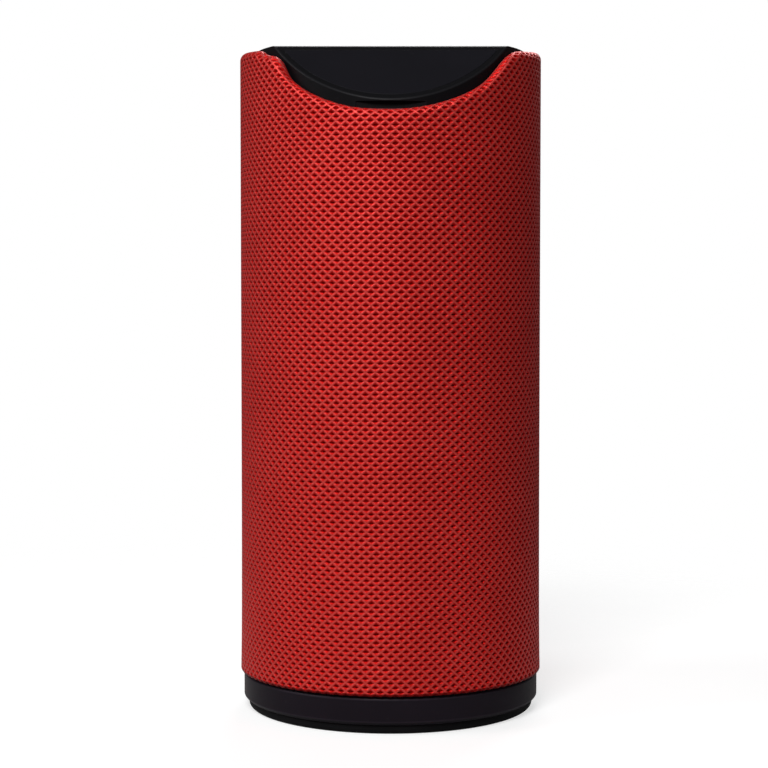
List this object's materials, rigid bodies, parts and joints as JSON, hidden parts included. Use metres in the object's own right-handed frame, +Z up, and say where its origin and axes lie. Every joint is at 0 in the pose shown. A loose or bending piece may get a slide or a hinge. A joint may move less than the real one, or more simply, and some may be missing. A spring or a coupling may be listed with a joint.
{
  "type": "portable bluetooth speaker",
  "caption": "Upright cylindrical cloth-wrapped portable speaker with a slanted black cap, push keys on its deck, a rear socket panel and a rubber foot.",
  "frame": {"origin": "centre of the rubber foot's underside, on the surface that the speaker stands on", "axes": "+Z up along the cylinder's axis; -Y is the front, where the cap slants down; +Y is the rear, with the socket panel; +X is to the right seen from the front"},
  "size_m": [0.073, 0.073, 0.1597],
  "materials": {
    "foot_rubber": "matte moulded rubber",
    "base_plastic": "fine satin moulding grain",
    "screw_steel": "zinc plated",
    "tube_plastic": "matt moulded",
    "red_cloth": "open woven polyester mesh",
    "chassis_plastic": "matt moulded",
    "gasket_foam": "closed cell foam",
    "basket_steel": "grey stoved paint",
    "iron": "zinc plated, turned",
    "ferrite": "dull ferrite",
    "coil_copper": "enamelled copper",
    "cone_paper": "pressed paper",
    "surround_rubber": "soft moulded",
    "spider_cloth": "impregnated cloth",
    "cell_wrap": "shrink film",
    "socket_steel": "tinned steel",
    "circuit_board": "solder mask",
    "chip_black": "moulded epoxy",
    "socket_plastic": "moulded",
    "port_plastic": "fine moulding grain",
    "cap_plastic": "fine satin grain",
    "fascia_plastic": "very fine satin grain",
    "key_rubber": "silicone with pale printed symbols",
    "clear_plastic": "clear light guide",
    "red_lead": "insulation",
    "grey_lead": "insulation"
  },
  "bodies": {
    "speaker": {"rubber_foot": "foot_rubber", "base_cap": "base_plastic", "base_screws": "screw_steel", "grille_tube": "tube_plastic", "cloth_sleeve": "red_cloth", "front_chassis": "chassis_plastic", "rear_chassis": "chassis_plastic", "chassis_gasket": "gasket_foam", "chassis_screws": "screw_steel", "upper_basket": "basket_steel", "upper_top_plate": "iron", "upper_magnet": "ferrite", "upper_yoke": "iron", "upper_surround": "surround_rubber", "upper_spider": "spider_cloth", "lower_basket": "basket_steel", "lower_top_plate": "iron", "lower_magnet": "ferrite", "lower_yoke": "iron", "lower_surround": "surround_rubber", "lower_spider": "spider_cloth", "driver_screws": "screw_steel", "radiator_frame": "basket_steel", "radiator_surround": "surround_rubber", "battery_cell": "cell_wrap", "battery_cradle": "chassis_plastic", "battery_tabs": "socket_steel", "main_board": "circuit_board", "board_screws": "screw_steel", "bluetooth_module": "circuit_board", "amplifier_chip": "chip_black", "capacitors": "socket_steel", "power_switch_body": "socket_steel", "micro_usb_socket": "socket_steel", "aux_jack": "port_plastic", "card_slot": "socket_steel", "usb_a_socket": "socket_steel", "usb_a_tongue": "socket_plastic", "port_plate": "port_plastic", "top_cap": "cap_plastic", "fascia_panel": "fascia_plastic", "key_board": "circuit_board", "key_switches": "socket_steel", "key_screws": "screw_steel", "light_pipe": "clear_plastic", "microphone": "socket_steel", "battery_leads": "red_lead", "speaker_leads": "grey_lead", "key_leads": "grey_lead"},
    "upper_diaphragm": {"upper_cone": "cone_paper", "upper_voice_coil": "coil_copper"},
    "lower_diaphragm": {"lower_cone": "cone_paper", "lower_voice_coil": "coil_copper"},
    "radiator_mass": {"radiator_plate": "iron"},
    "play_key": {"button_play": "key_rubber"},
    "minus_key": {"button_minus": "key_rubber"},
    "plus_key": {"button_plus": "key_rubber"},
    "mode_key": {"button_mode": "key_rubber"},
    "switch_knob": {"power_switch_knob": "port_plastic"}
  },
  "joints": [
    {"name": "play_press", "type": "slide", "parent": "speaker", "child": "play_key", "axis": [0, 0, -1], "range_m": [0, 0.0007], "stiffness_N_per_m": 1500},
    {"name": "minus_press", "type": "slide", "parent": "speaker", "child": "minus_key", "axis": [0, 0, -1], "range_m": [0, 0.0007], "stiffness_N_per_m": 1500},
    {"name": "plus_press", "type": "slide", "parent": "speaker", "child": "plus_key", "axis": [0, 0, -1], "range_m": [0, 0.0007], "stiffness_N_per_m": 1500},
    {"name": "mode_press", "type": "slide", "parent": "speaker", "child": "mode_key", "axis": [0, 0, -1], "range_m": [0, 0.0007], "stiffness_N_per_m": 1500},
    {"name": "upper_cone_stroke", "type": "slide", "parent": "speaker", "child": "upper_diaphragm", "axis": [0, -1, 0], "range_m": [-0.0015, 0.0015], "stiffness_N_per_m": 1500, "deforming": ["upper_surround", "upper_spider"]},
    {"name": "lower_cone_stroke", "type": "slide", "parent": "speaker", "child": "lower_diaphragm", "axis": [0, -1, 0], "range_m": [-0.0015, 0.0015], "stiffness_N_per_m": 1500, "deforming": ["lower_surround", "lower_spider"]},
    {"name": "radiator_stroke", "type": "slide", "parent": "speaker", "child": "radiator_mass", "axis": [0, 1, 0], "range_m": [-0.002, 0.002], "stiffness_N_per_m": 1200, "deforming": ["radiator_surround"]},
    {"name": "power_switch_slide", "type": "slide", "parent": "speaker", "child": "switch_knob", "axis": [1, 0, 0], "range_m": [0, 0.0024]}
  ]
}
